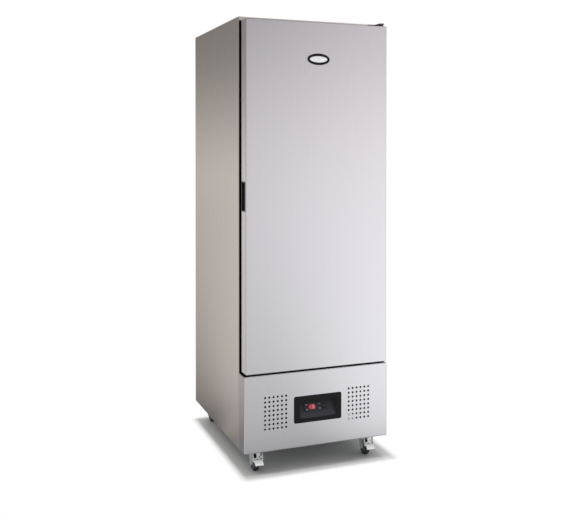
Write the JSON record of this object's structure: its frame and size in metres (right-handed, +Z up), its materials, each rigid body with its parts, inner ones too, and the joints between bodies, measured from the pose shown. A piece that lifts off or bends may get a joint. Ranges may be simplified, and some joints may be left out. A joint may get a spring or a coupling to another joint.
{
  "type": "upright commercial freezer",
  "caption": "Tall stainless upright catering freezer with a solid hinged door, perforated lower fascia with recessed controls, on braked castors.",
  "frame": {"origin": "bottom centre of the outline, on the floor", "axes": "+X to the right seen from the front, -Y out of the door, +Z up"},
  "size_m": [0.6, 0.7016, 1.735],
  "materials": {
    "stainless_sheet": "brushed stainless steel sheet",
    "galvanised_sheet": "galvanised steel sheet, spangle faint",
    "polyurethane_foam": null,
    "liner_plastic": "white vacuum-formed ABS",
    "black_profile": "black extruded PVC profile",
    "black_moulding": "black injection-moulded ABS",
    "gasket_rubber": "black magnetic gasket, soft PVC",
    "badge_plastic": "moulded badge, black rim and bare silver field",
    "controller_plastic": "dark controller front with a red display window",
    "rocker_plastic": "black nylon rocker switch",
    "zinc_plate": "bright zinc-plated steel",
    "castor_wheel": "dark grey rubber tread on a grey plastic hub",
    "black_paint": "black-painted steel",
    "fin_aluminium": "bare aluminium fins on copper tube",
    "copper_tube": "drawn copper tube",
    "coated_wire": "white plastic-coated steel wire",
    "bush_nylon": "natural nylon",
    "grommet_rubber": "black rubber",
    "tray_plastic": "black polypropylene"
  },
  "bodies": {
    "cabinet": {"back_panel": "galvanised_sheet", "base_frame": "galvanised_sheet", "bottom_hinge": "zinc_plate", "cabinet_insulation": "polyurethane_foam", "castor_plates": "zinc_plate", "compressor": "black_paint", "compressor_deck": "galvanised_sheet", "compressor_grommets": "grommet_rubber", "condenser_coil": "black_paint", "condenser_fan_motor": "black_paint", "controller_bezel": "black_moulding", "controller_module": "controller_plastic", "evaporation_tray": "tray_plastic", "evaporator_coil": "fin_aluminium", "evaporator_cover": "liner_plastic", "evaporator_fan_motor": "fin_aluminium", "fan_shroud": "black_paint", "fascia": "stainless_sheet", "fascia_screws": "zinc_plate", "front_frame": "black_profile", "inner_liner": "liner_plastic", "left_side_panel": "stainless_sheet", "mains_inlet": "black_moulding", "rear_grille": "galvanised_sheet", "refrigerant_pipes": "copper_tube", "right_side_panel": "stainless_sheet", "rocker_housing": "rocker_plastic", "shelf_1": "coated_wire", "shelf_2": "coated_wire", "shelf_3": "coated_wire", "shelf_clips": "stainless_sheet", "shelf_uprights": "stainless_sheet", "terminal_box": "galvanised_sheet", "top_hinge": "zinc_plate", "top_panel": "stainless_sheet"},
    "door": {"door_outer_panel": "stainless_sheet", "door_insulation": "polyurethane_foam", "door_inner_panel": "liner_plastic", "door_frame": "black_profile", "door_gasket": "gasket_rubber", "handle_grip": "black_moulding", "badge": "badge_plastic", "hinge_bushes": "bush_nylon"},
    "swivel_front_left": {"castor_fork_front_left": "zinc_plate"},
    "wheel_front_left": {"castor_wheel_front_left": "castor_wheel"},
    "swivel_front_right": {"castor_fork_front_right": "zinc_plate"},
    "wheel_front_right": {"castor_wheel_front_right": "castor_wheel"},
    "swivel_rear_left": {"castor_fork_rear_left": "zinc_plate"},
    "wheel_rear_left": {"castor_wheel_rear_left": "castor_wheel"},
    "swivel_rear_right": {"castor_fork_rear_right": "zinc_plate"},
    "wheel_rear_right": {"castor_wheel_rear_right": "castor_wheel"},
    "brake_front_left": {"brake_pedal_front_left": "zinc_plate"},
    "brake_front_right": {"brake_pedal_front_right": "zinc_plate"},
    "rocker": {"rocker_switch": "rocker_plastic"},
    "button_1": {"controller_button_1": "controller_plastic"},
    "button_2": {"controller_button_2": "controller_plastic"},
    "button_3": {"controller_button_3": "controller_plastic"},
    "button_4": {"controller_button_4": "controller_plastic"},
    "condenser_fan": {"condenser_fan": "black_moulding"},
    "evaporator_fan": {"evaporator_fan": "black_moulding"}
  },
  "joints": [
    {"name": "door_swing", "type": "hinge", "parent": "cabinet", "child": "door", "pos_m": [0.285, -0.3247, 1.053], "axis": [0, 0, 1], "range_deg": [0, 115]},
    {"name": "swivel_turn_front_left", "type": "hinge", "parent": "cabinet", "child": "swivel_front_left", "pos_m": [-0.235, -0.2592, 0.0798], "axis": [0, 0, 1], "continuous": true},
    {"name": "wheel_roll_front_left", "type": "hinge", "parent": "swivel_front_left", "child": "wheel_front_left", "pos_m": [-0.235, -0.2832, 0.03], "axis": [1, 0, 0], "continuous": true},
    {"name": "brake_press_front_left", "type": "hinge", "parent": "swivel_front_left", "child": "brake_front_left", "pos_m": [-0.235, -0.3202, 0.051], "axis": [1, 0, 0], "range_deg": [0, 12]},
    {"name": "swivel_turn_front_right", "type": "hinge", "parent": "cabinet", "child": "swivel_front_right", "pos_m": [0.235, -0.2592, 0.0798], "axis": [0, 0, 1], "continuous": true},
    {"name": "wheel_roll_front_right", "type": "hinge", "parent": "swivel_front_right", "child": "wheel_front_right", "pos_m": [0.235, -0.2832, 0.03], "axis": [1, 0, 0], "continuous": true},
    {"name": "brake_press_front_right", "type": "hinge", "parent": "swivel_front_right", "child": "brake_front_right", "pos_m": [0.235, -0.3202, 0.051], "axis": [1, 0, 0], "range_deg": [0, 12]},
    {"name": "swivel_turn_rear_left", "type": "hinge", "parent": "cabinet", "child": "swivel_rear_left", "pos_m": [-0.235, 0.2868, 0.0798], "axis": [0, 0, 1], "continuous": true},
    {"name": "wheel_roll_rear_left", "type": "hinge", "parent": "swivel_rear_left", "child": "wheel_rear_left", "pos_m": [-0.235, 0.3108, 0.03], "axis": [1, 0, 0], "continuous": true},
    {"name": "swivel_turn_rear_right", "type": "hinge", "parent": "cabinet", "child": "swivel_rear_right", "pos_m": [0.235, 0.2868, 0.0798], "axis": [0, 0, 1], "continuous": true},
    {"name": "wheel_roll_rear_right", "type": "hinge", "parent": "swivel_rear_right", "child": "wheel_rear_right", "pos_m": [0.235, 0.3108, 0.03], "axis": [1, 0, 0], "continuous": true},
    {"name": "rocker_tip", "type": "hinge", "parent": "cabinet", "child": "rocker", "pos_m": [0.0315, -0.33098, 0.23165], "axis": [1, 0, 0], "range_deg": [-20, 0]},
    {"name": "button_press_1", "type": "slide", "parent": "cabinet", "child": "button_1", "axis": [0, 0.9198, -0.3923], "range_m": [0, 0.0008], "stiffness_N_per_m": 800},
    {"name": "button_press_2", "type": "slide", "parent": "cabinet", "child": "button_2", "axis": [0, 0.9198, -0.3923], "range_m": [0, 0.0008], "stiffness_N_per_m": 800},
    {"name": "button_press_3", "type": "slide", "parent": "cabinet", "child": "button_3", "axis": [0, 0.9198, -0.3923], "range_m": [0, 0.0008], "stiffness_N_per_m": 800},
    {"name": "button_press_4", "type": "slide", "parent": "cabinet", "child": "button_4", "axis": [0, 0.9198, -0.3923], "range_m": [0, 0.0008], "stiffness_N_per_m": 800},
    {"name": "condenser_fan_spin", "type": "hinge", "parent": "cabinet", "child": "condenser_fan", "pos_m": [-0.1, -0.1832, 0.2065], "axis": [0, 1, 0], "continuous": true},
    {"name": "evaporator_fan_spin", "type": "hinge", "parent": "cabinet", "child": "evaporator_fan", "pos_m": [-0.06, 0.125, 1.5838], "axis": [0, 1, 0], "continuous": true}
  ]
}
